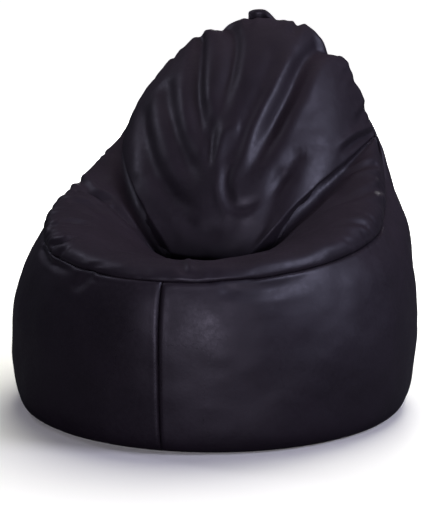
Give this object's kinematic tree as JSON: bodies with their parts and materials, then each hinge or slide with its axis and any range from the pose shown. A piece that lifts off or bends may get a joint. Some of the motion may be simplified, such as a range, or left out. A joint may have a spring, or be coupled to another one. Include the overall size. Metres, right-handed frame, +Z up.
{
  "type": "bean bag chair",
  "caption": "Large bucket-shaped bean bag chair with a rolled seat edge, low arms, a gathered leaning backrest, a carry loop behind the head and a long zip down the rear seam.",
  "frame": {"origin": "middle of the base panel's underside, on the floor", "axes": "+Z up, the sitter faces -Y, +X to the sitter's left"},
  "size_m": [0.8778, 0.9066, 0.8284],
  "materials": {
    "cover_leather": "satin",
    "handle_leather": "satin",
    "base_cloth": "matte",
    "liner_cloth": "matte",
    "beads": "matte",
    "zip_tape": "matte",
    "zip_coil": "gloss",
    "zip_metal": "satin"
  },
  "bodies": {
    "root": {"base_panel": "base_cloth", "left_side_panel": "cover_leather", "right_side_panel": "cover_leather", "seat_panel": "cover_leather", "back_panel": "cover_leather", "liner_base": "liner_cloth", "liner_left": "liner_cloth", "liner_right": "liner_cloth", "bead_fill": "beads", "zip_tape_left": "zip_tape", "zip_tape_right": "zip_tape", "zip_coil_left": "zip_coil", "zip_coil_right": "zip_coil", "zip_top_stops": "zip_metal", "zip_bottom_stop": "zip_metal", "zip_guard_flap": "liner_cloth", "handle_patch": "handle_leather"},
    "slider": {"zip_slider": "zip_metal"},
    "pull": {"zip_pull": "zip_metal"},
    "handle": {"carry_handle": "handle_leather"}
  },
  "joints": [
    {"name": "zip_travel", "type": "hinge", "parent": "root", "child": "slider", "pos_m": [0, -0.5694, 0.33012], "axis": [1, 0, 0], "range_deg": [-22, 0]},
    {"name": "pull_swing", "type": "hinge", "parent": "slider", "child": "pull", "pos_m": [0, 0.45042, 0.54457], "axis": [1, 0, 0], "range_deg": [0, 160]},
    {"name": "handle_fold", "type": "hinge", "parent": "root", "child": "handle", "pos_m": [0.02, 0.37172, 0.78024], "axis": [1, 0, 0], "range_deg": [-130, 20], "stiffness_Nm_per_rad": 0.05}
  ]
}
